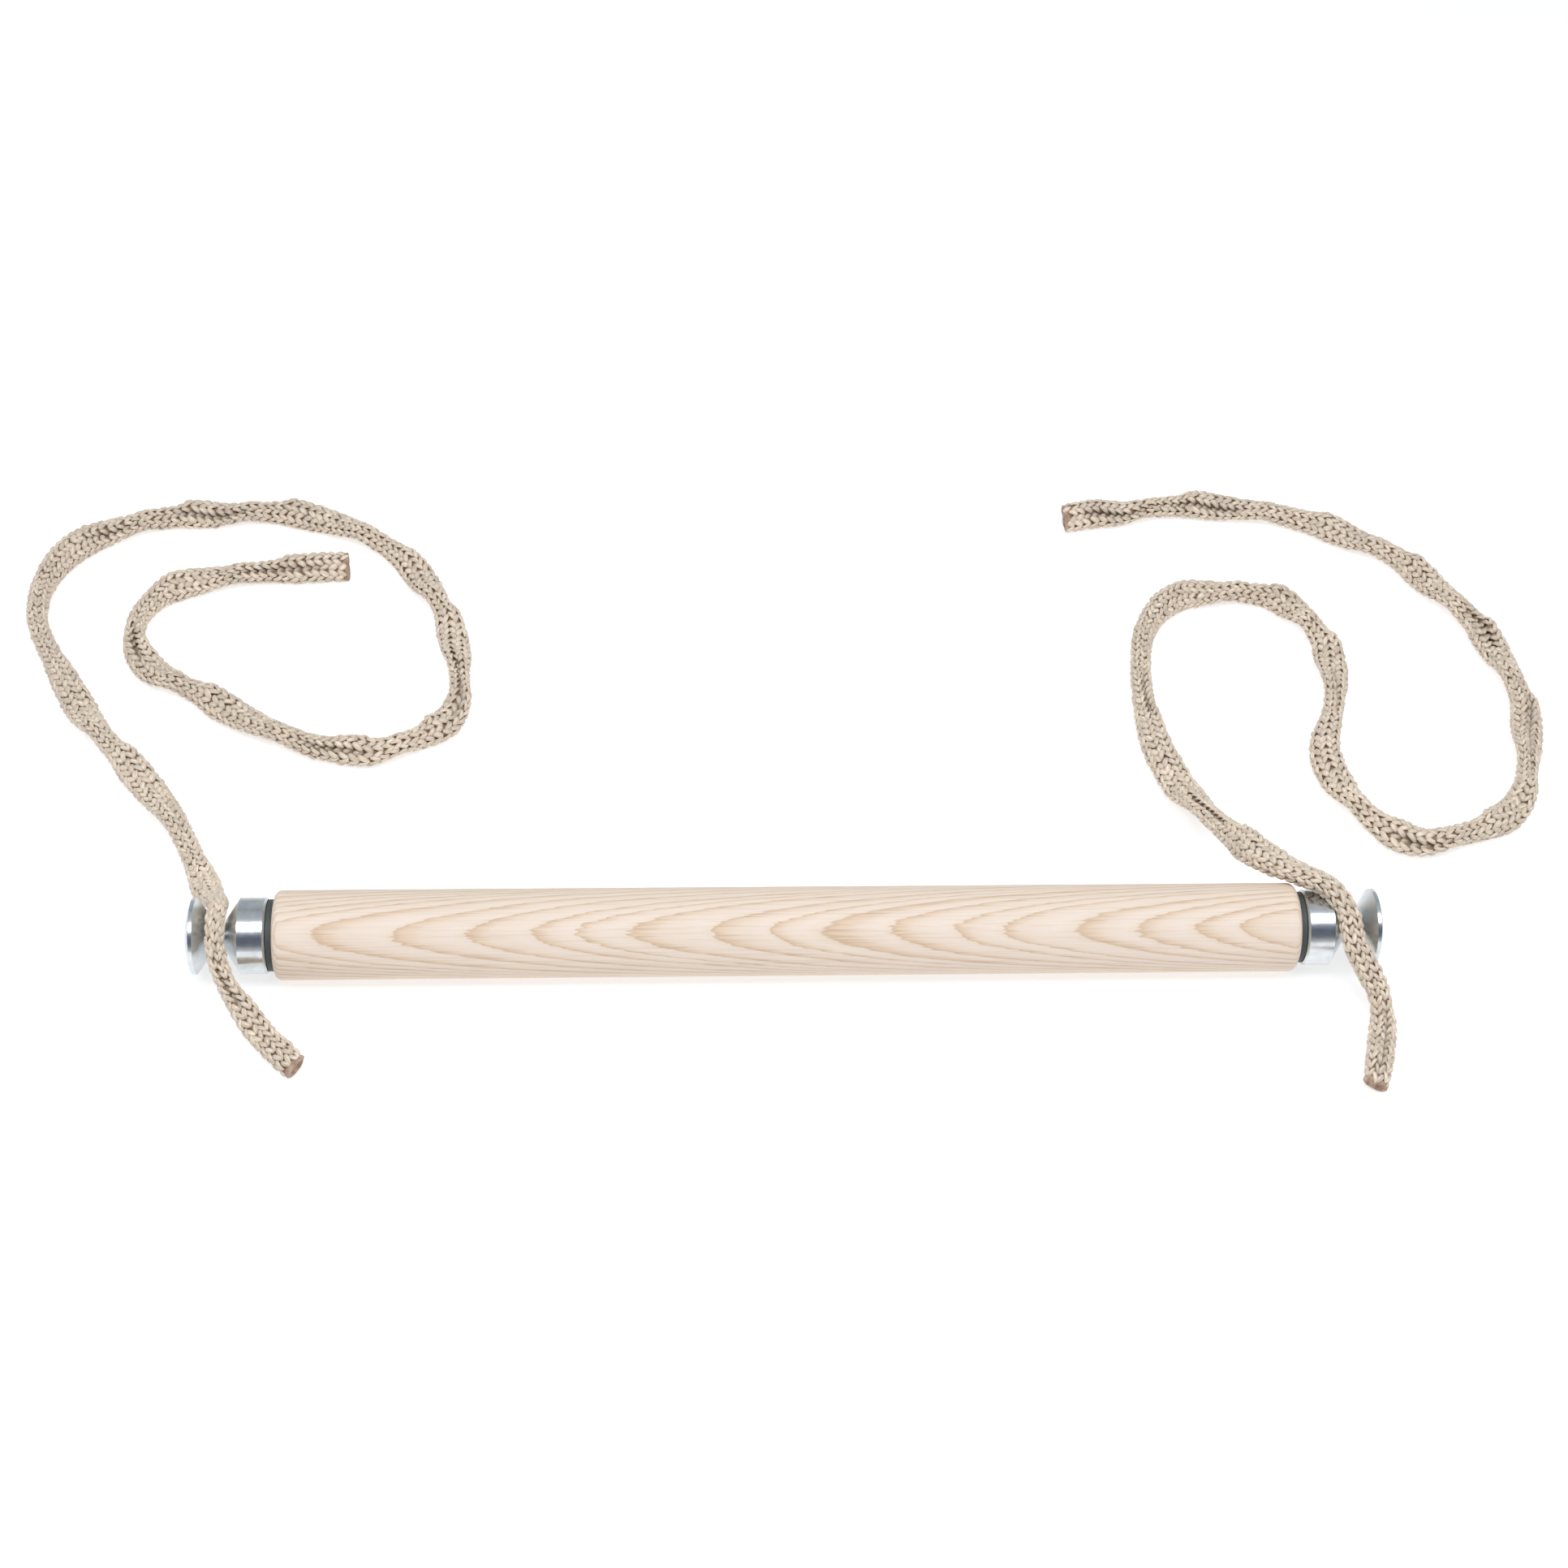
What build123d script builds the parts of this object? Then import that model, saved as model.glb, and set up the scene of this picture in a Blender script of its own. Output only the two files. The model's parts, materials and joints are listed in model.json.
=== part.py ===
from build123d import *
import math
import os

# A trapeze swing bar: a round wooden grip that turns on a steel axle, with a spool-shaped
# steel fitting at each end and a knitted cord laid over the neck of each spool.
#
# Frame, in mm: X along the bar, Z up, origin under the middle of the grip, on the surface
# that the bar and its cords lie on. "right" is the +X end and "left" is the -X end.

# ---------------------------------------------------------------- driving dimensions
grip_length = 400.0
grip_diameter = 35.0
grip_end_round = 2.8

axle_diameter = 10.0
axle_end_diameter = 8.0
axle_end_chamfer = 0.6
grip_bore_clearance = 0.5
running_clearance = 0.05
seat_clearance = 0.05

bush_outer_diameter = 14.0
bush_length = 22.0
bush_flange_diameter = 28.0
bush_flange_thickness = 2.4
bush_bore_chamfer = 0.4
end_play = 0.3

collar_diameter = 30.0
collar_width = 10.5
collar_edge_chamfer = 0.8
cone_angle = 57.0
neck_diameter = 10.0
neck_length = 4.0
cap_rim_width = 1.6
cap_dome_height = 2.8
cap_edge_round = 0.4
cap_bore_depth = 7.0
axle_tip_gap = 0.5
bush_end_gap = 0.5

cord_diameter = 10.0
cord_lift = 0.2
arc_share = 0.45

# ---------------------------------------------------------------- radii and heights
grip_radius = grip_diameter / 2
axle_radius = axle_diameter / 2
axle_end_radius = axle_end_diameter / 2
neck_radius = neck_diameter / 2
collar_radius = collar_diameter / 2
bush_radius = bush_outer_diameter / 2
bush_flange_radius = bush_flange_diameter / 2
cord_radius = cord_diameter / 2
axle_height = grip_radius

# ---------------------------------------------------------------- stations along the bar
# Distances from the middle of the bar towards either end.
cone_run = (collar_radius - neck_radius) / math.tan(math.radians(cone_angle))
grip_end = grip_length / 2
flange_face = grip_end + bush_flange_thickness
collar_inner = flange_face + end_play
collar_outer = collar_inner + collar_width
collar_toe = collar_outer + cone_run
cap_toe = collar_toe + neck_length
cap_rim_inner = cap_toe + cone_run
cap_rim_outer = cap_rim_inner + cap_rim_width
cap_apex = cap_rim_outer + cap_dome_height
axle_tip = cap_toe + cap_bore_depth - axle_tip_gap

# ---------------------------------------------------------------- axis and planes
bar_axis = Axis((0, 0, axle_height), (1, 0, 0))
# Profiles are drawn in these planes: x runs outwards along the bar from its middle, and
# y is the distance above the bar's axis.
end_planes = {
    "left": Plane(origin=(0, 0, axle_height), x_dir=(-1, 0, 0), z_dir=(0, 1, 0)),
    "right": Plane(origin=(0, 0, axle_height), x_dir=(1, 0, 0), z_dir=(0, -1, 0)),
}

os.makedirs("parts", exist_ok=True)


def save(piece, name):
    """Label a finished piece and write its STEP file."""
    piece.label = name
    export_step(piece, f"parts/{name}.step")


# ---------------------------------------------------------------- wooden grip
# A full-length bore clears the axle, and a wider seat at each end holds a bush.
with BuildPart() as grip:
    with BuildSketch(end_planes["right"]) as grip_section:
        with BuildLine():
            Polyline(
                (-grip_end, 0),
                (-grip_end, grip_radius),
                (grip_end, grip_radius),
                (grip_end, 0),
                close=True,
            )
        make_face()
    revolve(axis=bar_axis)
    end_edges = grip.edges().filter_by(GeomType.CIRCLE)
    fillet(end_edges, radius=grip_end_round)
    with BuildSketch(end_planes["right"]) as bore_section:
        with BuildLine():
            bore_radius = axle_radius + grip_bore_clearance
            seat_radius = bush_radius + seat_clearance
            seat_floor = grip_end - bush_length - bush_end_gap
            Polyline(
                (-grip_end, 0),
                (-grip_end, seat_radius),
                (-seat_floor, seat_radius),
                (-seat_floor, bore_radius),
                (seat_floor, bore_radius),
                (seat_floor, seat_radius),
                (grip_end, seat_radius),
                (grip_end, 0),
                close=True,
            )
        make_face()
    revolve(axis=bar_axis, mode=Mode.SUBTRACT)
save(grip.part, "grip")


# ---------------------------------------------------------------- axle
# The thick middle carries the grip. A collar stops against the shoulder at each end, and
# the thinner ends hold the neck sleeves and the end caps.
with BuildPart() as axle:
    with BuildSketch(end_planes["right"]) as axle_section:
        with BuildLine():
            Polyline(
                (-axle_tip, 0),
                (-axle_tip, axle_end_radius),
                (-collar_inner, axle_end_radius),
                (-collar_inner, axle_radius),
                (collar_inner, axle_radius),
                (collar_inner, axle_end_radius),
                (axle_tip, axle_end_radius),
                (axle_tip, 0),
                close=True,
            )
        make_face()
    revolve(axis=bar_axis)
    tip_edges = axle.edges().filter_by(GeomType.CIRCLE).sort_by(Axis.X)
    chamfer([tip_edges[0], tip_edges[-1]], length=axle_end_chamfer)
save(axle.part, "axle")


# ---------------------------------------------------------------- end fittings
def flanged_bush(plane):
    """Plain bearing pressed into the grip; its flange spaces the grip from the collar."""
    with BuildPart() as bush:
        with BuildSketch(plane) as section:
            with BuildLine():
                bore = axle_radius + running_clearance
                Polyline(
                    (grip_end - bush_length, bore),
                    (grip_end - bush_length, bush_radius),
                    (grip_end, bush_radius),
                    (grip_end, bush_flange_radius),
                    (flange_face, bush_flange_radius),
                    (flange_face, bore + bush_bore_chamfer),
                    (flange_face - bush_bore_chamfer, bore),
                    close=True,
                )
            make_face()
        revolve(axis=bar_axis)
    return bush.part


def spool_collar(plane):
    """Steel collar with a cone on its outer side: the inner wall of the cord groove."""
    with BuildPart() as collar:
        with BuildSketch(plane) as section:
            with BuildLine():
                bore = axle_end_radius + running_clearance
                Polyline(
                    (collar_inner, bore),
                    (collar_inner, collar_radius - collar_edge_chamfer),
                    (collar_inner + collar_edge_chamfer, collar_radius),
                    (collar_outer, collar_radius),
                    (collar_toe, neck_radius),
                    (collar_toe, bore),
                    close=True,
                )
            make_face()
        revolve(axis=bar_axis)
    return collar.part


def neck_sleeve(plane):
    """Short tube on the axle between the two cones: the floor of the cord groove."""
    with BuildPart() as sleeve:
        with BuildSketch(plane) as section:
            with BuildLine():
                bore = axle_end_radius + running_clearance
                Polyline(
                    (collar_toe, bore),
                    (collar_toe, neck_radius),
                    (cap_toe, neck_radius),
                    (cap_toe, bore),
                    close=True,
                )
            make_face()
        revolve(axis=bar_axis)
    return sleeve.part


def end_cap(plane):
    """Flared cap screwed on the axle: a cone, a thin rim and a domed outer face."""
    with BuildPart() as cap:
        with BuildSketch(plane) as section:
            with BuildLine():
                bore = axle_end_radius + running_clearance
                Polyline(
                    (cap_apex, 0),
                    (cap_toe + cap_bore_depth, 0),
                    (cap_toe + cap_bore_depth, bore),
                    (cap_toe, bore),
                    (cap_toe, neck_radius),
                    (cap_rim_inner, collar_radius),
                    (cap_rim_outer, collar_radius),
                )
                TangentArc((cap_apex, 0), (cap_rim_outer, collar_radius), tangent=(0, 1))
            make_face()
        revolve(axis=bar_axis)
        rim_edges = cap.edges().filter_by(GeomType.CIRCLE).sort_by(SortBy.RADIUS)[-2:]
        fillet(rim_edges, radius=cap_edge_round)
    return cap.part


for side, plane in end_planes.items():
    save(flanged_bush(plane), f"{side}_bush")
    save(spool_collar(plane), f"{side}_collar")
    save(neck_sleeve(plane), f"{side}_neck_sleeve")
    save(end_cap(plane), f"{side}_end_cap")


# ---------------------------------------------------------------- cords
# Each cord is one piece. It starts at its short tail in front of the bar, goes over the
# neck of its spool, comes down behind the bar and lies in loops on the surface.
lie = cord_radius + cord_lift

left_route = [
    (-190, -58, lie),
    (-199, -46.5, 5.3),
    (-208, -33, 7.8),
    (-216, -22, 14.0),
    (-221.2, -12.4, 22.8),
    (-222.0, -5.0, 29.9),
    (-222.1, 5.0, 29.9),
    (-222.7, 12.6, 23.0),
    (-226, 22, 15.0),
    (-231, 33, 8.2),
    (-237, 48, lie),
    (-247, 72, lie),
    (-266, 101, lie),
    (-292, 134, lie),
    (-312, 171, lie),
    (-328, 207, lie),
    (-323, 243, lie),
    (-302, 268, lie),
    (-268, 277, lie),
    (-231, 280, lie),
    (-197, 273, lie),
    (-168, 249, lie),
    (-147, 215, lie),
    (-138, 179, lie),
    (-135, 142, lie),
    (-152, 122, lie),
    (-185, 114, lie),
    (-215, 129, lie),
    (-249, 150, lie),
    (-280, 173, lie),
    (-284, 204, lie),
    (-266, 229, lie),
    (-228, 236, lie),
    (-190, 239, lie),
]

# The right cord leaves its groove sideways: it climbs over the collar and the end of the
# grip before it comes down behind them.
right_route = [
    (219, -70, lie),
    (225, -57.5, lie),
    (229, -43, 5.4),
    (229, -32, 8.4),
    (226.5, -22, 14.8),
    (223, -13, 23.0),
    (221.4, -6, 30.4),
    (218, -1.5, 35.6),
    (213, 3, 38.7),
    (206, 8, 38.9),
    (198, 14, 37.5),
    (190.5, 24, 33.5),
    (184.5, 37, 27.0),
    (179, 54, 18.4),
    (172.5, 74, 10.4),
    (166.5, 96, 5.8),
    (161, 124, lie),
    (161, 160, lie),
    (169, 198, lie),
    (190, 221, lie),
    (219, 221, lie),
    (241, 213, lie),
    (252, 179, lie),
    (248, 145, lie),
    (233, 112, lie),
    (244, 79, lie),
    (259, 57, lie),
    (290, 63, lie),
    (314, 78, lie),
    (326, 112, lie),
    (332, 149, lie),
    (326, 188, lie),
    (311, 223, lie),
    (289, 254, lie),
    (257, 273, lie),
    (223, 285, lie),
    (182, 283, lie),
    (142, 274, lie),
]


def bend_radii(route):
    """Radius of the arc at each inner point: as large as its two runs allow."""
    points = [Vector(*point) for point in route]
    radii = []
    for before, here, after in zip(points, points[1:], points[2:]):
        half_turn = math.radians((here - before).get_angle(after - here)) / 2
        shorter_run = min((here - before).length, (after - here).length)
        radii.append(arc_share * shorter_run / math.tan(half_turn))
    return radii


def cord(route, name):
    """A plain round tube along straight runs joined by tangent arcs."""
    radii = bend_radii(route)
    with BuildPart() as tube:
        with BuildLine():
            path = FilletPolyline(*route, radius=radii)
        with BuildSketch(Plane(origin=path @ 0, z_dir=path % 0)):
            Circle(cord_radius)
        sweep(path=path)
    expected = math.pi * cord_radius**2 * path.length
    print(name, "length", round(path.length, 1))
    print(name, "volume against section times length", round(tube.part.volume / expected, 4))
    print(name, "bend radii", [round(radius, 1) for radius in radii])
    return tube.part


save(cord(left_route, "left_cord"), "left_cord")
save(cord(right_route, "right_cord"), "right_cord")
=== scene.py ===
import json
import math

import bpy
import numpy as np
from mathutils import Matrix, Vector
from mathutils.bvhtree import BVHTree


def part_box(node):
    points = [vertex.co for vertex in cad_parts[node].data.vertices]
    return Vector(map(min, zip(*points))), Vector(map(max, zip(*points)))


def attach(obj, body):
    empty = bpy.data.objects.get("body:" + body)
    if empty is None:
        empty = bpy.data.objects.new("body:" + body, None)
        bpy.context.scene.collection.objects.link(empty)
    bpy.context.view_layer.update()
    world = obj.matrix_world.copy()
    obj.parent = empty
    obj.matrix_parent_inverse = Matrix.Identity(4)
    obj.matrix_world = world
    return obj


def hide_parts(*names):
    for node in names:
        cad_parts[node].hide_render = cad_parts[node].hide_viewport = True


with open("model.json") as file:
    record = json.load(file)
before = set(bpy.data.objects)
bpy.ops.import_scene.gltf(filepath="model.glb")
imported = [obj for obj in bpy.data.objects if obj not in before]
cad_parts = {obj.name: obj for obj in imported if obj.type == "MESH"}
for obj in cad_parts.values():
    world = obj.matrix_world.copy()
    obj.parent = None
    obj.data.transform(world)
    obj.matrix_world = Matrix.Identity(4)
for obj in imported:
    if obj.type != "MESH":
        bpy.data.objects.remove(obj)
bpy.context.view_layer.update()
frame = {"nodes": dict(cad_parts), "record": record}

# A trapeze swing bar with two knitted cords. Metres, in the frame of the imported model: X
# along the bar, Z up, origin under the middle of the grip on the surface it lies on.

MM = 0.001

# ---------------------------------------------------------------- camera
CAMERA_PLACE = Vector((-0.0595, -0.7141, 0.7895))
CAMERA_HEADING = math.radians(4.36)
CAMERA_PITCH = math.radians(44.0)
CAMERA_ROLL = math.radians(2.74)
LENS_MM = 61.5
SENSOR_MM = 36.0


def make_camera():
    """A camera that looks along the heading (from +Y towards +X) and down by the pitch."""
    forward = Vector((
        math.sin(CAMERA_HEADING) * math.cos(CAMERA_PITCH),
        math.cos(CAMERA_HEADING) * math.cos(CAMERA_PITCH),
        -math.sin(CAMERA_PITCH),
    ))
    right = Vector((math.cos(CAMERA_HEADING), -math.sin(CAMERA_HEADING), 0))
    up = right.cross(forward)
    rolled_right = right * math.cos(CAMERA_ROLL) + up * math.sin(CAMERA_ROLL)
    rolled_up = up * math.cos(CAMERA_ROLL) - right * math.sin(CAMERA_ROLL)
    data = bpy.data.cameras.new("camera")
    data.lens = LENS_MM
    data.sensor_width = SENSOR_MM
    camera = bpy.data.objects.new("camera", data)
    turn = Matrix((rolled_right, rolled_up, -forward)).transposed().to_4x4()
    camera.matrix_world = Matrix.Translation(CAMERA_PLACE) @ turn
    bpy.context.scene.collection.objects.link(camera)
    bpy.context.scene.camera = camera


make_camera()

# ---------------------------------------------------------------- cord routes
# The points of the cords' routes in the CAD source, in metres, with some moved by up to
# 3.5 mm because these cords are flatter. A cord starts at its short tail in front of the
# bar and goes over the neck of its spool.
LIE = 0.0058

LEFT_ROUTE = [
    (-0.1884, -0.0560, LIE),
    (-0.1985, -0.0460, 0.0060),
    (-0.2085, -0.033, 0.0082),
    (-0.2178, -0.022, 0.0140),
    (-0.2222, -0.0118, 0.0222),
    (-0.2218, -0.0050, 0.0287),
    (-0.2219, 0.0050, 0.0287),
    (-0.2225, 0.0120, 0.0224),
    (-0.226, 0.022, 0.0150),
    (-0.231, 0.033, 0.0084),
    (-0.237, 0.048, LIE),
    (-0.247, 0.072, LIE),
    (-0.266, 0.101, LIE),
    (-0.292, 0.134, LIE),
    (-0.312, 0.171, LIE),
    (-0.328, 0.207, LIE),
    (-0.323, 0.243, LIE),
    (-0.302, 0.268, LIE),
    (-0.268, 0.277, LIE),
    (-0.231, 0.280, LIE),
    (-0.197, 0.273, LIE),
    (-0.168, 0.249, LIE),
    (-0.147, 0.215, LIE),
    (-0.138, 0.179, LIE),
    (-0.135, 0.142, LIE),
    (-0.152, 0.122, LIE),
    (-0.185, 0.114, LIE),
    (-0.215, 0.129, LIE),
    (-0.248, 0.153, LIE),
    (-0.2785, 0.1745, LIE),
    (-0.2825, 0.2045, LIE),
    (-0.266, 0.229, LIE),
    (-0.228, 0.236, LIE),
    (-0.190, 0.239, LIE),
]

# The right cord leaves its groove sideways and climbs over the collar and the grip's end.
RIGHT_ROUTE = [
    (0.2212, -0.070, LIE),
    (0.2258, -0.0575, LIE),
    (0.2296, -0.043, 0.0060),
    (0.2312, -0.0325, 0.0086),
    (0.2272, -0.0225, 0.0144),
    (0.2208, -0.013, 0.0226),
    (0.2196, -0.006, 0.0292),
    (0.2166, -0.0020, 0.0341),
    (0.2124, 0.0028, 0.0367),
    (0.2062, 0.0085, 0.0362),
    (0.1985, 0.015, 0.0348),
    (0.1908, 0.0245, 0.0316),
    (0.1852, 0.0375, 0.0270),
    (0.1805, 0.055, 0.0184),
    (0.1752, 0.076, 0.0106),
    (0.1682, 0.0975, 0.0064),
    (0.162, 0.124, LIE),
    (0.1622, 0.160, LIE),
    (0.169, 0.198, LIE),
    (0.190, 0.221, LIE),
    (0.219, 0.221, LIE),
    (0.241, 0.213, LIE),
    (0.252, 0.179, LIE),
    (0.248, 0.145, LIE),
    (0.233, 0.112, LIE),
    (0.244, 0.079, LIE),
    (0.259, 0.057, LIE),
    (0.290, 0.063, LIE),
    (0.314, 0.078, LIE),
    (0.326, 0.112, LIE),
    (0.332, 0.149, LIE),
    (0.326, 0.188, LIE),
    (0.311, 0.223, LIE),
    (0.289, 0.254, LIE),
    (0.257, 0.273, LIE),
    (0.223, 0.285, LIE),
    (0.182, 0.283, LIE),
    (0.142, 0.274, LIE),
]

# Distances along each cord at which its broad side faces up and to the front, in mm.
LEFT_BROAD = (28, 110, 200, 250, 370, 420, 466, 540, 585, 650, 690, 760, 802, 860, 912)
RIGHT_BROAD = (
    18, 60, 130, 195, 330, 376, 422, 500, 541, 587, 648, 708, 763, 813, 878, 926,
)

# Stretches where the broad side is folded in along its middle: (middle, half length), mm.
LEFT_CREASES = (
    (46, 12), (378, 12), (428, 18), (622, 22), (698, 14), (812, 12), (905, 20),
)
RIGHT_CREASES = (
    (20, 14), (165, 16), (250, 14), (447, 16), (550, 12), (645, 26), (718, 14), (873, 18),
    (914, 22),
)

# ---------------------------------------------------------------- cord section and knit
LINE_STEPS = 24
STATION_STEP = 0.001

# The skin's radii where the cord lies free, under the yarn that stands out of it.
BROAD_RADIUS = 0.0059
NARROW_RADIUS = 0.0035
YARN_RISE = 0.00117
# A broad side that stands upright sags to this share of its radius.
UPRIGHT_SHARE = 0.75
UPRIGHT_FROM = 0.55
# The short tail is less broad, by this share, and all broad from TAIL_PAST on.
TAIL_BROAD_SHARE = 0.76
TAIL_END = 0.035
TAIL_PAST = 0.110
# Past its reach round the neck, a cord takes its free shape over this distance.
NECK_FADE = 0.022
# The cut ends are pressed flat, to this share.
TIP_SHARE = 0.55
TIP_FADE = 0.012
# The cord lies on the floor up to the first height of its middle, and is free at the second.
RAISED_FROM = 0.0062
RAISED_ALL = 0.0100
FLOOR_GAP = 0.0002
# What the broad side faces at each mark of LEFT_BROAD and RIGHT_BROAD.
BROAD_FACING = np.array([0.0, -0.72, 0.69])
# A crease's width is an angle, and it fades between these shares of its half length.
CREASE_DEPTH = 0.0030
CREASE_WIDTH = 0.24
CREASE_FADE = (0.5, 1.3)

WALES = 7
COURSE_PITCH = 0.0039
FIRST_COURSE = -0.35
WALE_STAGGER = 3 / WALES
YARN_SIDES = 6
# One leg of a stitch, from where it comes out of the fabric to where it goes back in:
# share of the course pitch, share of half the wale, height over the tube's skin, half
# width and half thickness, in mm.
LEG_STATIONS = np.array([
    (-0.12, 0.04, -1.00, 0.00, 0.00),
    (0.05, 0.14, -0.10, 0.92, 0.58),
    (0.34, 0.40, 0.42, 1.14, 0.76),
    (0.64, 0.68, 0.46, 1.12, 0.74),
    (0.92, 0.90, -0.10, 0.88, 0.58),
    (1.08, 0.98, -1.00, 0.00, 0.00),
])
# How unlike each other the legs are: along in pitches, height in mm, width as a share and
# round the cord in half wales.
WANDER_ALONG = 0.06
WANDER_HEIGHT = 0.15
WANDER_WIDTH = 0.07
WANDER_ROUND = 0.05
# A leg's width follows the width of its wale, between these shares.
FIT_LIMITS = (0.8, 1.2)
# Each leg has a cell of the map, with a margin in it, and faces without yarn have a corner.
MAP_MARGIN = 0.06
MAP_STRETCH = 1.2
MAP_CORNER = 0.999

INNER_DEPTH = -0.0005
INNER_SIDES = 21
INNER_INSET = 0.0008

# The sealed end: distance from the tip and height over the skin, in mm. The first ring is
# hidden in the knit.
SEAL_RINGS = ((3.2, -0.6), (2.2, 0.15), (1.3, 0.55), (0.6, 0.55), (0.1, 0.2))
SEAL_SIDES = 42
# The dish in the sealed end: share of the last ring, and how far it stands out.
DISH_RINGS = ((0.82, 0.0002), (0.55, -0.0004), (0.25, -0.0006))
LUMP_WAVES = 5
LUMP_ALONG = 0.00035
LUMP_RISE = 0.00022
LUMP_DISH = 0.00015

FITTING_GAP = 0.0001
# Material slots of a cord.
KNIT, INSIDE, MELTED = range(3)


def smooth_step(value, low, high):
    """0 below low, 1 above high, and a smooth rise between them."""
    share = np.clip((value - low) / (high - low), 0, 1)
    return share * share * (3 - 2 * share)


def unit(vectors):
    return vectors / np.linalg.norm(vectors, axis=-1, keepdims=True)


def spline_line(name, route):
    """Points along the NURBS spline that has the route's points as its control points."""
    curve = bpy.data.curves.new(name, "CURVE")
    curve.dimensions = "3D"
    curve.resolution_u = LINE_STEPS
    spline = curve.splines.new("NURBS")
    spline.points.add(len(route) - 1)
    for point, place in zip(spline.points, route):
        point.co = (*place, 1.0)
    spline.order_u = 3
    spline.use_endpoint_u = True
    carrier = bpy.data.objects.new(name, curve)
    mesh = bpy.data.meshes.new_from_object(carrier)
    line = np.array([vertex.co for vertex in mesh.vertices])
    bpy.data.meshes.remove(mesh)
    bpy.data.objects.remove(carrier)
    bpy.data.curves.remove(curve)
    return line


class CordShape:
    """The skin of a flattened, twisting hollow cord, by distance, angle and height."""

    def __init__(self, line, broad, creases, neck):
        steps = np.linalg.norm(np.diff(line, axis=0), axis=1)
        along = np.concatenate([[0], np.cumsum(steps)])
        self.length = along[-1]
        self.at = np.linspace(0, self.length, int(self.length / STATION_STEP) + 1)
        self.creases = creases
        columns = [np.interp(self.at, along, column) for column in line.T]
        self.centre = np.stack(columns, axis=1)
        self.tangent = unit(np.gradient(self.centre, axis=0))
        self.side = unit(np.cross(self.tangent, (0, 0, 1)))
        self.up = np.cross(self.side, self.tangent)
        facing = np.arctan2(self.up @ BROAD_FACING, self.side @ BROAD_FACING)
        self.facing = np.unwrap(facing)
        half_turns = np.interp(self.at, np.array(broad) * MM, np.arange(len(broad)))
        lean = self.facing + math.pi / 2 + math.pi * half_turns
        self.flatten(*self.radii(neck), np.cos(lean), np.sin(lean))

    def radii(self, neck):
        """The broad and the narrow radius at each station, before the cord sags."""
        neck_centre, neck_radius, neck_reach = neck
        from_neck = np.linalg.norm(self.centre - neck_centre, axis=1)
        free = smooth_step(from_neck, neck_reach, neck_reach + NECK_FADE)
        past_tail = smooth_step(self.at, TAIL_END, TAIL_PAST)
        broad_free = BROAD_RADIUS * (TAIL_BROAD_SHARE + (1 - TAIL_BROAD_SHARE) * past_tail)
        broad_radius = neck_radius + (broad_free - neck_radius) * free
        narrow_radius = neck_radius + (NARROW_RADIUS - neck_radius) * free
        from_tip = np.minimum(self.at, self.length - self.at)
        narrow_radius *= TIP_SHARE + (1 - TIP_SHARE) * smooth_step(from_tip, 0, TIP_FADE)
        return broad_radius, narrow_radius

    def flatten(self, broad_radius, narrow_radius, cosine, sine):
        """Sets the section at each station, and lays the low stations on the floor."""
        sagged = smooth_step(sine**2, UPRIGHT_FROM, 1.0)
        broad_radius = broad_radius * (1 - (1 - UPRIGHT_SHARE) * sagged)
        self.stretch = np.empty((len(self.at), 2, 2))
        self.stretch[:, 0, 0] = broad_radius * cosine**2 + narrow_radius * sine**2
        self.stretch[:, 1, 1] = broad_radius * sine**2 + narrow_radius * cosine**2
        self.stretch[:, 0, 1] = (broad_radius - narrow_radius) * cosine * sine
        self.stretch[:, 1, 0] = self.stretch[:, 0, 1]
        half_height = np.hypot(
            (broad_radius + YARN_RISE) * sine, (narrow_radius + YARN_RISE) * cosine
        )
        height = self.centre[:, 2]
        lying = 1 - smooth_step(height, RAISED_FROM, RAISED_ALL)
        self.centre[:, 2] = height + (half_height + FLOOR_GAP - height) * lying

    def read(self, values, distance):
        """values, one for each station, read at these distances."""
        flat = values.reshape(len(self.at), -1)
        found = [np.interp(distance, self.at, column) for column in flat.T]
        return np.stack(found, axis=-1).reshape(*distance.shape, *values.shape[1:])

    def crease(self, distance, angle):
        """How far the skin is folded in, where the broad side faces the front."""
        away = (angle - self.read(self.facing, distance) + math.pi) % (2 * math.pi) - math.pi
        fold = np.exp(-((away / CREASE_WIDTH) ** 2))
        depth = np.zeros_like(distance)
        for middle, half_length in self.creases:
            reach = np.abs(distance - middle * MM) / (half_length * MM)
            depth = np.maximum(depth, 1 - smooth_step(reach, *CREASE_FADE))
        return CREASE_DEPTH * depth * fold

    def skin(self, distance, angle, height):
        """Places, outward directions and the width of one radian of the skin."""
        distance = np.clip(distance, 0, self.length)
        round_unit = np.stack([np.cos(angle), np.sin(angle)], axis=-1)
        turned_unit = np.stack([-np.sin(angle), np.cos(angle)], axis=-1)
        stretch = self.read(self.stretch, distance)
        flat = (stretch @ round_unit[..., None])[..., 0]
        run = (stretch @ turned_unit[..., None])[..., 0]
        outward = unit(np.linalg.solve(stretch, round_unit[..., None])[..., 0])
        flat = flat + outward * (height - self.crease(distance, angle))[..., None]
        side, up = self.read(self.side, distance), self.read(self.up, distance)
        place = self.read(self.centre, distance) + side * flat[..., :1] + up * flat[..., 1:]
        normal = unit(side * outward[..., :1] + up * outward[..., 1:])
        return place, normal, np.linalg.norm(run, axis=-1)


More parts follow.
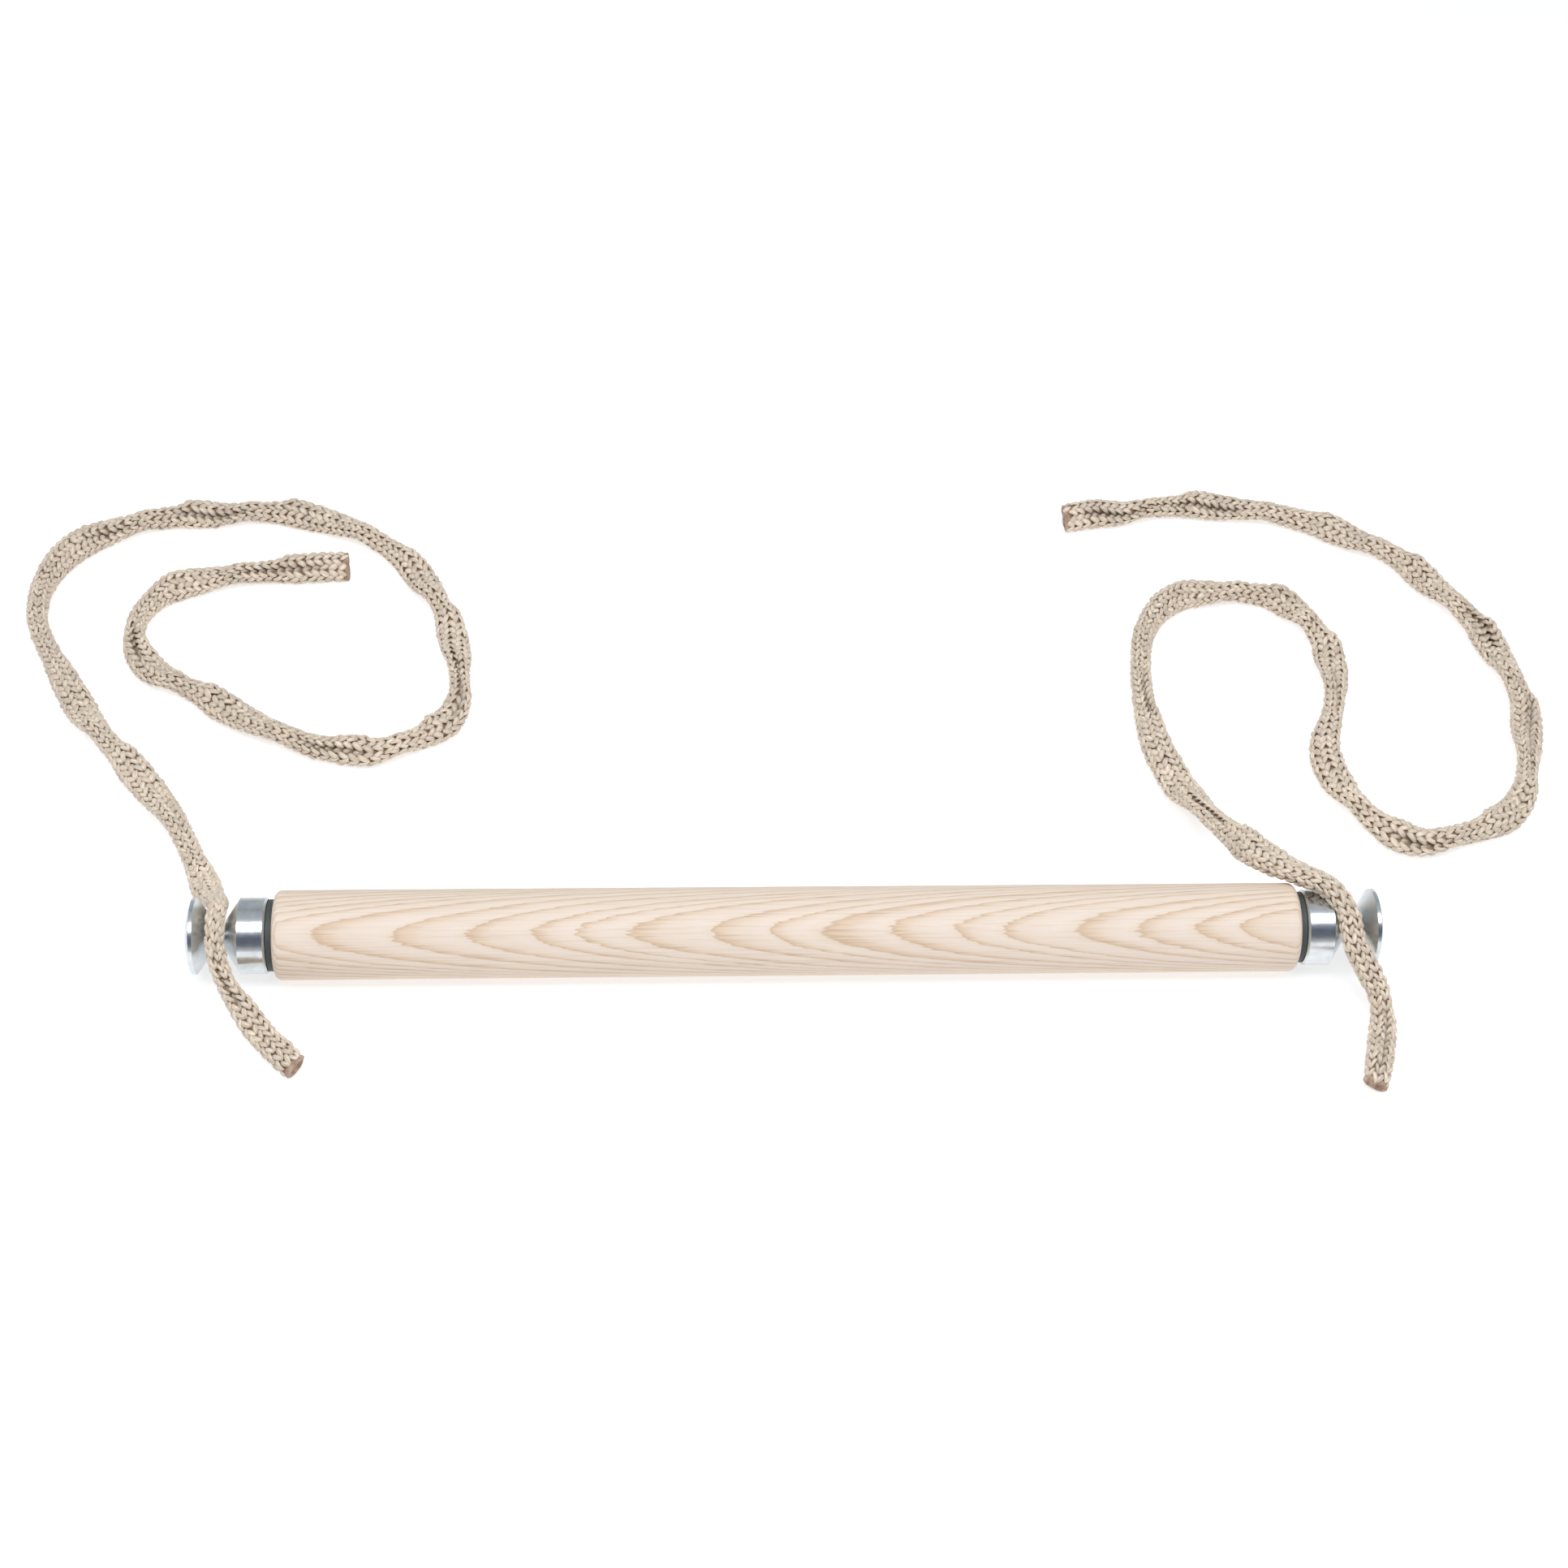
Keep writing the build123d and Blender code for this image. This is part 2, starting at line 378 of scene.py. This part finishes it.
class MeshParts:
    """Points, faces, face corners' map places and materials, gathered for one mesh."""

    def __init__(self):
        self.points, self.faces, self.corners, self.yarn = [], [], [], []
        self.folds, self.materials = [], []
        self.count = 0

    def add(self, points, faces, corners, yarn, material, folds=None):
        self.points.append(points)
        self.folds.append(np.zeros(len(points)) if folds is None else folds)
        self.faces.extend((face + self.count).tolist() for face in faces)
        self.corners.append(corners)
        self.yarn.append(yarn)
        self.materials.extend([material] * len(faces))
        self.count += len(points)


def leg_template():
    """Faces of one yarn leg, and each corner's place round it and along it."""
    rings = len(LEG_STATIONS) - 2
    last = 1 + rings * YARN_SIDES
    faces, corners = [], []

    def ring_vertex(ring, side):
        return 1 + ring * YARN_SIDES + side % YARN_SIDES

    for side in range(YARN_SIDES):
        here, there = side / YARN_SIDES, (side + 1) / YARN_SIDES
        faces.append((0, ring_vertex(0, side + 1), ring_vertex(0, side)))
        corners.append(((here, 0.0), (there, 0.17), (here, 0.17)))
        for ring in range(rings - 1):
            low, high = (ring + 1) / (rings + 1), (ring + 2) / (rings + 1)
            faces.append((
                ring_vertex(ring, side),
                ring_vertex(ring, side + 1),
                ring_vertex(ring + 1, side + 1),
                ring_vertex(ring + 1, side),
            ))
            corners.append(((here, low), (there, low), (there, high), (here, high)))
        faces.append((last, ring_vertex(rings - 1, side), ring_vertex(rings - 1, side + 1)))
        corners.append(((here, 1.0), (here, 0.83), (there, 0.83)))
    return faces, corners, last + 1


def leg_paths(shape, random):
    """Distances, angles and heights of each leg's stations, and how it differs."""
    courses = int(shape.length / COURSE_PITCH)
    pitch = shape.length / courses
    grids = np.meshgrid(np.arange(courses), np.arange(WALES), (-1.0, 1.0), indexing="ij")
    course, wale, hand = (grid.ravel() for grid in grids)
    wander = random.normal(0, 1, (len(course), 4))
    start = (course + (wale * WALE_STAGGER) % 1.0 + FIRST_COURSE) * pitch
    share, across, height, _, _ = LEG_STATIONS.T
    distance = start[:, None] + (share + WANDER_ALONG * wander[:, :1]) * pitch
    kept = (distance[:, 1] > 0) & (distance[:, -2] < shape.length)
    wale, hand, distance, wander = wale[kept], hand[kept], distance[kept], wander[kept]
    half_wale = math.pi / WALES
    angle = (2 * wale[:, None] + 1 + hand[:, None] * across) * half_wale
    angle = angle + WANDER_ROUND * wander[:, 3:] * half_wale
    # The tips stay buried in the fabric.
    out = height > height[0]
    rise = (height + WANDER_HEIGHT * wander[:, 1:2] * out) * MM
    return distance, angle, rise, wander


def leg_points(shape, distance, angle, rise, wander):
    """The points of each leg: its first tip, its rings and its last tip."""
    _, _, _, wide, thick = LEG_STATIONS.T
    place, normal, radian = shape.skin(distance, angle, rise)
    usual_radian = (BROAD_RADIUS + NARROW_RADIUS) / 2
    fit = np.clip(radian / usual_radian, *FIT_LIMITS)[..., None, None]
    ahead = unit(np.gradient(place, axis=1))
    sideways = unit(np.cross(ahead, normal))
    outward = np.cross(sideways, ahead)
    around = np.arange(YARN_SIDES) / YARN_SIDES * 2 * math.pi
    width = (wide * MM * (1 + WANDER_WIDTH * wander[:, 2:3]))[..., None, None]
    depth = np.broadcast_to((thick * MM)[None, :, None, None], width.shape)
    ring = (
        place[:, :, None]
        + sideways[:, :, None] * np.cos(around)[:, None] * width * fit
        + outward[:, :, None] * np.sin(around)[:, None] * depth
    )
    rings = ring[:, 1:-1].reshape(len(place), -1, 3)
    return np.concatenate([place[:, :1], rings, place[:, -1:]], axis=1)


def leg_map(legs, corners, random):
    """Map places and yarn values of the legs' corners: each leg has a tint of its own."""
    columns = math.ceil(math.sqrt(legs * MAP_STRETCH))
    rows = math.ceil(legs / columns)
    cell = np.stack([np.arange(legs) % columns, np.arange(legs) // columns], axis=1)
    inside = MAP_MARGIN + (1 - 2 * MAP_MARGIN) * corners
    placed = (cell[:, None] + inside) / (columns, rows)
    tint = random.random(legs)
    yarn = np.concatenate(
        [
            np.broadcast_to(corners, (legs, *corners.shape)),
            np.broadcast_to(tint[:, None, None], (legs, len(corners), 1)),
        ],
        axis=2,
    )
    return placed.reshape(-1, 2), yarn.reshape(-1, 3)


def knit(shape, random, parts):
    """Two legs for each stitch, in columns along the cord."""
    distance, angle, rise, wander = leg_paths(shape, random)
    points = leg_points(shape, distance, angle, rise, wander)
    faces, corners, size = leg_template()
    legs = len(points)
    first_points = np.arange(legs) * size
    all_faces = [np.array(face) + first for first in first_points for face in faces]
    flat_corners = np.array([corner for face in corners for corner in face])
    placed, yarn = leg_map(legs, flat_corners, random)
    fold = shape.crease(distance, angle) / CREASE_DEPTH
    folds = np.concatenate(
        [fold[:, :1], np.repeat(fold[:, 1:-1], YARN_SIDES, axis=1), fold[:, -1:]], axis=1
    )
    parts.add(points.reshape(-1, 3), all_faces, placed, yarn, KNIT, folds.ravel())


def grid_faces(rows, sides, flip=False):
    """Faces of a tube of rings, as row-by-row vertex numbers."""
    faces = []
    for row in range(rows - 1):
        for side in range(sides):
            after = (side + 1) % sides
            face = [
                row * sides + side,
                row * sides + after,
                (row + 1) * sides + after,
                (row + 1) * sides + side,
            ]
            faces.append(np.array(face[::-1] if flip else face))
    return faces


def plain_corners(count):
    """Map places and yarn values for faces that need no map."""
    return np.full((count, 2), MAP_CORNER), np.full((count, 3), 0.5)


def inner_tube(shape, parts):
    """The far side of the knit, which shows dark between the legs: its dark brown colour is
    painted shade.
    """
    courses = int(shape.length / COURSE_PITCH)
    distance = np.linspace(INNER_INSET, shape.length - INNER_INSET, courses)
    angle = np.arange(INNER_SIDES) / INNER_SIDES * 2 * math.pi
    distance, angle = np.meshgrid(distance, angle, indexing="ij")
    place, _, _ = shape.skin(distance, angle, np.full(distance.shape, INNER_DEPTH))
    faces = grid_faces(courses, INNER_SIDES)
    parts.add(place.reshape(-1, 3), faces, *plain_corners(4 * len(faces)), INSIDE)


def sealed_end(shape, at_end, random, parts):
    """The cut end, melted into a hard lumpy rim with a shallow dish in it."""
    angle = np.arange(SEAL_SIDES) / SEAL_SIDES * 2 * math.pi
    phase = random.uniform(0, 2 * math.pi, LUMP_WAVES)
    lumps = sum(np.sin((k + 2) * angle + phase[k]) / (k + 2) for k in range(LUMP_WAVES))
    inward = -1.0 if at_end else 1.0
    tip = shape.length if at_end else 0.0
    tangent = shape.tangent[-1 if at_end else 0]
    rings = []
    for back, height in SEAL_RINGS:
        # Lumps are turned from ring to ring, so that they don't line up.
        seen = back < SEAL_RINGS[0][0]
        distance = tip + inward * (back * MM + LUMP_ALONG * lumps * seen)
        rise = height * MM + LUMP_RISE * np.roll(lumps, int(5 * back)) * seen
        place, _, _ = shape.skin(distance, angle, rise)
        rings.append(place)
    rim = rings[-1]
    middle = rim.mean(axis=0)
    for share, push in DISH_RINGS:
        bump = push + LUMP_DISH * np.roll(lumps, int(20 * share))
        rings.append(middle + (rim - middle) * share - inward * tangent * bump[:, None])
    points = np.concatenate([*rings, rings[-1].mean(axis=0)[None]])
    faces = grid_faces(len(rings), SEAL_SIDES, flip=not at_end)
    last_ring = (len(rings) - 1) * SEAL_SIDES
    corner_count = 4 * len(faces) + 3 * SEAL_SIDES
    for side in range(SEAL_SIDES):
        face = (last_ring + side, last_ring + (side + 1) % SEAL_SIDES, len(points) - 1)
        faces.append(np.array(face if at_end else face[::-1]))
    parts.add(points, faces, *plain_corners(corner_count), MELTED)


def kept_clear(points, nodes, clearance):
    """points, with those in or on these CAD nodes moved out to the clearance."""
    for node in nodes:
        low, high = (np.array(corner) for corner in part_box(node))
        mesh = frame["nodes"][node].data
        tree = BVHTree.FromPolygons(
            [vertex.co for vertex in mesh.vertices],
            [tuple(polygon.vertices) for polygon in mesh.polygons],
        )
        near = ((points > low - clearance) & (points < high + clearance)).all(axis=1)
        for index in np.flatnonzero(near):
            place, normal, _, _ = tree.find_nearest(Vector(points[index]))
            if (Vector(points[index]) - place).dot(normal) < clearance:
                points[index] = place + normal * clearance
    return points


def build_mesh(name, parts, materials):
    """One object from the gathered parts."""
    mesh = bpy.data.meshes.new(name)
    mesh.from_pydata(np.concatenate(parts.points).tolist(), [], parts.faces)
    for material in materials:
        mesh.materials.append(material)
    mesh.polygons.foreach_set("material_index", parts.materials)
    mesh.polygons.foreach_set("use_smooth", [True] * len(mesh.polygons))
    layer = mesh.uv_layers.new(name="OFBake")
    layer.uv.foreach_set("vector", np.concatenate(parts.corners).ravel())
    attribute = mesh.attributes.new("yarn", "FLOAT_VECTOR", "CORNER")
    attribute.data.foreach_set("vector", np.concatenate(parts.yarn).ravel())
    fold = mesh.attributes.new("fold", "FLOAT", "POINT")
    fold.data.foreach_set("value", np.concatenate(parts.folds))
    mesh.update()
    piece = bpy.data.objects.new(name, mesh)
    bpy.context.scene.collection.objects.link(piece)
    return piece


# ---------------------------------------------------------------- material helpers
class Nodes:
    """Short ways to add and link the nodes of one tree."""

    def __init__(self, tree):
        self.tree = tree

    def add(self, kind, inputs=None, **settings):
        node = self.tree.nodes.new(kind)
        for key, value in settings.items():
            setattr(node, key, value)
        for key, value in (inputs or {}).items():
            self.put(node.inputs[key], value)
        return node

    def put(self, socket, value):
        """Links an output to a socket, or sets a plain value on it."""
        if isinstance(value, bpy.types.NodeSocket):
            self.tree.links.new(value, socket)
        else:
            socket.default_value = value

    def object_place(self):
        return self.add("ShaderNodeTexCoord").outputs["Object"]

    def math(self, operation, first, second=0.0, third=0.0):
        node = self.add("ShaderNodeMath", {0: first, 1: second, 2: third})
        node.operation = operation
        return node.outputs[0]

    def vector(self, operation, first, second=(0, 0, 0)):
        node = self.add("ShaderNodeVectorMath", {0: first, 1: second})
        node.operation = operation
        return node.outputs[1 if operation == "LENGTH" else 0]

    def noise(self, coordinates, scale=1.0, detail=2.0, roughness=0.5):
        inputs = {
            "Vector": coordinates,
            "Scale": scale,
            "Detail": detail,
            "Roughness": roughness,
        }
        return self.add("ShaderNodeTexNoise", inputs).outputs["Fac"]

    def ramp(self, value, stops):
        """A colour ramp through (place, colour) stops."""
        node = self.add("ShaderNodeValToRGB", {"Fac": value})
        elements = node.color_ramp.elements
        while len(elements) < len(stops):
            elements.new(0.5)
        for element, (place, colour) in zip(elements, stops):
            element.position = place
            element.color = (*colour, 1.0)
        return node.outputs["Color"]

    def mix(self, share, first, second, blend="MIX"):
        node = self.add("ShaderNodeMix", data_type="RGBA", blend_type=blend)
        self.put(node.inputs["Factor"], share)
        for socket, value in ((node.inputs[6], first), (node.inputs[7], second)):
            self.put(socket, value if isinstance(value, bpy.types.NodeSocket) else (*value, 1))
        return node.outputs[2]

    def bump(self, height, strength, distance, normal=None):
        node = self.add("ShaderNodeBump", {"Height": height, "Strength": strength})
        node.inputs["Distance"].default_value = distance
        if normal is not None:
            self.put(node.inputs["Normal"], normal)
        return node.outputs["Normal"]


class MaterialNodes(Nodes):
    """A new material and its nodes."""

    def __init__(self, name):
        self.material = bpy.data.materials.new(name)
        self.material.use_nodes = True
        super().__init__(self.material.node_tree)

    def finish(self, **inputs):
        """Sets or links the shader's inputs, named with _ for a space."""
        shader = self.tree.nodes["Principled BSDF"]
        for key, value in inputs.items():
            if isinstance(value, tuple) and len(value) == 3:
                value = (*value, 1)
            self.put(shader.inputs[key.replace("_", " ")], value)
        return self.material


# ---------------------------------------------------------------- cord materials
def knitted_cord():
    """Pale beige filament yarn: fine lines along each leg, a little colour change, and painted
    shade in its folds.
    """
    nodes = MaterialNodes("knitted_cord")
    yarn = nodes.add("ShaderNodeAttribute", attribute_name="yarn").outputs["Vector"]
    split = nodes.add("ShaderNodeSeparateXYZ", {0: yarn})
    around, along, tint = split.outputs
    line_place = nodes.add(
        "ShaderNodeCombineXYZ",
        {
            0: nodes.math("MULTIPLY", around, 26.0),
            1: nodes.math("MULTIPLY", along, 1.6),
            2: nodes.math("MULTIPLY", tint, 90.0),
        },
    ).outputs[0]
    lines = nodes.noise(line_place, detail=3.0, roughness=0.6)
    place = nodes.object_place()
    patches = nodes.noise(place, scale=55.0, detail=2.0)
    base = nodes.ramp(
        lines,
        [
            (0.28, (0.47, 0.345, 0.230)),
            (0.48, (0.70, 0.590, 0.465)),
            (0.68, (0.95, 0.845, 0.715)),
        ],
    )
    shade = nodes.math("MULTIPLY_ADD", tint, 0.20, 0.90)
    shade = nodes.math("MULTIPLY", shade, nodes.math("MULTIPLY_ADD", patches, 0.30, 0.85))
    # Painted shade: the colour darkens in a fold, where little light gets in.
    fold = nodes.add("ShaderNodeAttribute", attribute_name="fold").outputs["Fac"]
    shade = nodes.math("MULTIPLY", shade, nodes.math("MULTIPLY_ADD", fold, -0.45, 1.0))
    tone = nodes.add("ShaderNodeCombineXYZ", {0: shade, 1: shade, 2: shade}).outputs[0]
    colour = nodes.mix(1.0, base, tone, "MULTIPLY")
    normal = nodes.bump(lines, 0.35, 0.0003)
    return nodes.finish(
        Base_Color=colour,
        Roughness=0.40,
        Sheen_Weight=0.10,
        Sheen_Roughness=0.5,
        Normal=normal,
    )


def cord_inside():
    """Painted shade: the inside of the knit, coloured dark brown with fine specks."""
    nodes = MaterialNodes("cord_inside")
    place = nodes.object_place()
    specks = nodes.noise(place, scale=900.0, detail=2.0)
    colour = nodes.ramp(specks, [(0.3, (0.20, 0.125, 0.07)), (0.7, (0.38, 0.26, 0.165))])
    return nodes.finish(Base_Color=colour, Roughness=0.9)


def melted_end():
    """Filaments melted together: brown, uneven and slightly glossy."""
    nodes = MaterialNodes("melted_end")
    place = nodes.object_place()
    lumps = nodes.noise(place, scale=420.0, detail=3.0)
    colour = nodes.ramp(
        lumps,
        [(0.30, (0.24, 0.13, 0.08)), (0.50, (0.40, 0.27, 0.19)), (0.70, (0.56, 0.43, 0.32))],
    )
    roughness = nodes.math("MULTIPLY_ADD", lumps, 0.4, 0.3)
    return nodes.finish(
        Base_Color=colour, Roughness=roughness, Normal=nodes.bump(lumps, 0.6, 0.0008)
    )


# ---------------------------------------------------------------- cords
def make_cord(side, route, broad, creases, neck_radius, neck_reach, seed):
    """A knitted cord that stands for the plain tube of the same side.

    Within neck_reach of its neck's middle, it is squeezed round, to neck_radius.
    """
    random = np.random.default_rng(seed)
    line = spline_line(f"{side}_cord_line", route)
    sleeve_low, sleeve_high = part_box(f"{side}_neck_sleeve")
    neck = np.array((sleeve_low + sleeve_high) / 2), neck_radius, neck_reach
    shape = CordShape(line, broad, creases, neck)
    parts = MeshParts()
    knit(shape, random, parts)
    inner_tube(shape, parts)
    sealed_end(shape, False, random, parts)
    sealed_end(shape, True, random, parts)
    points = np.concatenate(parts.points)
    points[:, 2] = np.maximum(points[:, 2], FLOOR_GAP)
    fittings = [f"{side}_collar", f"{side}_end_cap", f"{side}_neck_sleeve", "grip"]
    parts.points = [kept_clear(points, fittings, FITTING_GAP)]
    piece = build_mesh(f"{side}_knitted_cord", parts, CORD_MATERIALS)
    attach(piece, "spool_frame")
    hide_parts(f"{side}_cord")


# In the order of the slots KNIT, INSIDE and MELTED.
CORD_MATERIALS = [knitted_cord(), cord_inside(), melted_end()]
make_cord(
    "left", LEFT_ROUTE, LEFT_BROAD, LEFT_CREASES, neck_radius=0.0029, neck_reach=0.017, seed=11
)
make_cord(
    "right", RIGHT_ROUTE, RIGHT_BROAD, RIGHT_CREASES, neck_radius=0.0036, neck_reach=0.008,
    seed=23,
)

# ---------------------------------------------------------------- wood, steel and plastic
# Growth rings are cylinders round the tree's middle, which lies behind the bar's best face
# and runs away from it slowly, so that the rings show as long arches.
FACE_DIRECTION = Vector((0.0, -0.69, 0.72))
PITH_DEPTH = 0.075
PITH_SLOPE = 0.072
RING_WIDTH = 0.0017
# How far a ring wavers over a long way and over a short one, and how uneven rings are.
RING_SWAY = 0.0016
RING_FEATHER = 0.0005
RING_UNEVEN = 1.4
UNEVEN_SCALE = 0.33
GRIP_MIDDLE = Vector((0, 0, 0.0175))


def ash_wood():
    """Pale ash: rings that start with a line of open pores, and fibres along the bar."""
    nodes = MaterialNodes("ash_wood")
    place = nodes.object_place()
    long_grain = nodes.vector("MULTIPLY", place, (9.0, 60.0, 60.0))
    fibre_grain = nodes.vector("MULTIPLY", place, (30.0, 1700.0, 1700.0))
    feather_grain = nodes.vector("MULTIPLY", place, (90.0, 1200.0, 1200.0))
    sway = nodes.noise(long_grain, detail=2.0)
    fibre = nodes.noise(fibre_grain, detail=2.0)
    feather = nodes.noise(feather_grain, detail=1.0)
    pith_place = GRIP_MIDDLE - FACE_DIRECTION * PITH_DEPTH
    pith_line = (Vector((1, 0, 0)) - FACE_DIRECTION * PITH_SLOPE).normalized()
    from_pith = nodes.vector("SUBTRACT", place, tuple(pith_place))
    radius = nodes.vector("LENGTH", nodes.vector("CROSS_PRODUCT", from_pith, tuple(pith_line)))
    radius = nodes.math("MULTIPLY_ADD", sway, RING_SWAY, radius)
    radius = nodes.math("MULTIPLY_ADD", feather, RING_FEATHER, radius)
    rings = nodes.math("DIVIDE", radius, RING_WIDTH)
    slow = nodes.add(
        "ShaderNodeTexNoise", {"W": rings, "Scale": UNEVEN_SCALE}, noise_dimensions="1D"
    )
    rings = nodes.math("MULTIPLY_ADD", slow.outputs["Fac"], RING_UNEVEN, rings)
    phase = nodes.math("FRACT", rings)
    colour = nodes.ramp(
        phase,
        [
            (0.00, (0.79, 0.65, 0.52)),
            (0.04, (0.62, 0.43, 0.28)),
            (0.13, (0.72, 0.54, 0.375)),
            (0.38, (0.79, 0.655, 0.53)),
            (0.80, (0.82, 0.705, 0.60)),
            (1.00, (0.79, 0.665, 0.54)),
        ],
    )
    early = nodes.ramp(phase, [(0.0, (0, 0, 0)), (0.08, (1, 1, 1)), (0.40, (0.1, 0.1, 0.1))])
    pores = nodes.ramp(fibre, [(0.50, (0, 0, 0)), (0.64, (1, 1, 1))])
    pore_share = nodes.math("MULTIPLY", nodes.math("MULTIPLY_ADD", early, 0.5, 0.14), pores)
    colour = nodes.mix(pore_share, colour, (0.50, 0.34, 0.22))
    blotch = nodes.noise(nodes.vector("MULTIPLY", place, (7.0, 30.0, 30.0)), detail=2.0)
    colour = nodes.mix(nodes.math("MULTIPLY", blotch, 0.25), colour, (0.86, 0.76, 0.67))
    roughness = nodes.math("MULTIPLY_ADD", fibre, 0.2, 0.5)
    height = nodes.math("SUBTRACT", nodes.math("MULTIPLY", fibre, 0.3), pore_share)
    return nodes.finish(
        Base_Color=colour, Roughness=roughness, Normal=nodes.bump(height, 0.25, 0.0002)
    )


def zinc_steel():
    """Bright zinc on turned steel: nearly a mirror, with a fine crystal speckle."""
    nodes = MaterialNodes("zinc_steel")
    place = nodes.object_place()
    speckle = nodes.noise(place, scale=2600.0, detail=2.0)
    cloud = nodes.noise(place, scale=260.0, detail=3.0)
    colour = nodes.ramp(cloud, [(0.3, (0.62, 0.66, 0.69)), (0.7, (0.74, 0.78, 0.80))])
    # Faces and cones across the bar are duller than the cylinders.
    facing = nodes.add("ShaderNodeTexCoord").outputs["Normal"]
    split = nodes.add("ShaderNodeSeparateXYZ", {0: facing})
    end_on = nodes.math("ABSOLUTE", split.outputs["X"])
    turned = nodes.math("MULTIPLY_ADD", end_on, 0.16, 0.10)
    roughness = nodes.math("MULTIPLY_ADD", speckle, 0.20, turned)
    return nodes.finish(
        Base_Color=colour,
        Metallic=1.0,
        Roughness=roughness,
        Normal=nodes.bump(speckle, 0.12, 0.0001),
    )


def bare_steel():
    """Turned steel, with the fine rings that a lathe leaves."""
    nodes = MaterialNodes("bare_steel")
    place = nodes.object_place()
    turning = nodes.noise(nodes.vector("MULTIPLY", place, (6000.0, 40.0, 40.0)))
    colour = nodes.ramp(turning, [(0.3, (0.40, 0.40, 0.41)), (0.7, (0.56, 0.56, 0.57))])
    return nodes.finish(
        Base_Color=colour, Metallic=1.0, Roughness=0.38, Normal=nodes.bump(turning, 0.2, 0.0001)
    )


def bush_plastic():
    """Dark grey moulded plastic with a fine matte texture."""
    nodes = MaterialNodes("bush_plastic")
    place = nodes.object_place()
    grain = nodes.noise(place, scale=3200.0, detail=1.0)
    colour = nodes.ramp(grain, [(0.3, (0.040, 0.048, 0.046)), (0.7, (0.070, 0.080, 0.078))])
    return nodes.finish(
        Base_Color=colour, Roughness=0.6, Normal=nodes.bump(grain, 0.2, 0.0001)
    )


def finish_frame():
    """Each CAD node that stays in view gets the finish its record names."""
    finishes = {
        "ash_wood": ash_wood(),
        "zinc_steel": zinc_steel(),
        "bare_steel": bare_steel(),
        "bush_plastic": bush_plastic(),
    }
    for row in frame["record"]["subparts"]:
        finish = finishes.get(row["material_slot"])
        if finish is None:
            continue
        node = frame["nodes"][row["node"]]
        for material_slot in node.material_slots:
            material_slot.material = finish


finish_frame()

# ---------------------------------------------------------------- floor, light and world
FLOOR_SIDE = 8.0
LIGHT_AIM = Vector((0, 0, 0.02))


def make_floor():
    """A plain white sheet under everything, which glows so that shadows on it stay pale."""
    half = FLOOR_SIDE / 2
    mesh = bpy.data.meshes.new("floor")
    corners = [(-half, -half, 0), (half, -half, 0), (half, half, 0), (-half, half, 0)]
    mesh.from_pydata(corners, [], [(0, 1, 2, 3)])
    nodes = MaterialNodes("floor_white")
    mesh.materials.append(
        nodes.finish(
            Base_Color=(0.50, 0.50, 0.50),
            Roughness=0.9,
            Emission_Color=(1.0, 1.0, 1.0),
            Emission_Strength=0.63,
        )
    )
    floor = bpy.data.objects.new("floor", mesh)
    bpy.context.scene.collection.objects.link(floor)


def area_light(name, direction, distance, size, power):
    """A rectangle of light, size (along X, across), that faces LIGHT_AIM."""
    data = bpy.data.lights.new(name, "AREA")
    data.shape = "RECTANGLE"
    data.size, data.size_y = size
    data.energy = power
    light = bpy.data.objects.new(name, data)
    away = Vector(direction).normalized()
    light.location = LIGHT_AIM + away * distance
    light.rotation_mode = "QUATERNION"
    light.rotation_quaternion = away.to_track_quat("Z", "Y")
    bpy.context.scene.collection.objects.link(light)


# Colours of the room, by the angle in degrees from the horizon in front, up and over.
ROOM = [
    (0, (0.48, 0.47, 0.44)),
    (9, (0.44, 0.44, 0.42)),
    (15, (0.15, 0.16, 0.20)),
    (40, (0.12, 0.13, 0.17)),
    (58, (0.30, 0.32, 0.38)),
    (95, (0.52, 0.54, 0.57)),
    (124, (0.44, 0.47, 0.49)),
    (130, (0.30, 0.33, 0.35)),
    (137, (0.42, 0.45, 0.47)),
    (180, (0.50, 0.53, 0.54)),
]


def make_world():
    """A plain studio: dim in front, where the camera stands, and grey overhead and behind."""
    world = bpy.data.worlds.new("studio")
    bpy.context.scene.world = world
    world.use_nodes = True
    nodes = Nodes(world.node_tree)
    towards = nodes.add("ShaderNodeTexCoord").outputs["Generated"]
    split = nodes.add("ShaderNodeSeparateXYZ", {0: towards})
    ahead = nodes.math("MULTIPLY", split.outputs["Y"], -1.0)
    angle = nodes.math("ARCTAN2", split.outputs["Z"], ahead)
    share = nodes.math("DIVIDE", angle, math.pi)
    colour = nodes.ramp(share, [(degrees / 180, colour) for degrees, colour in ROOM])
    nodes.put(world.node_tree.nodes["Background"].inputs["Color"], colour)


make_floor()
area_light("key", (0.0, -0.30, 0.95), distance=1.5, size=(2.4, 0.60), power=23.0)
make_world()
bpy.context.scene.view_settings.view_transform = "Standard"
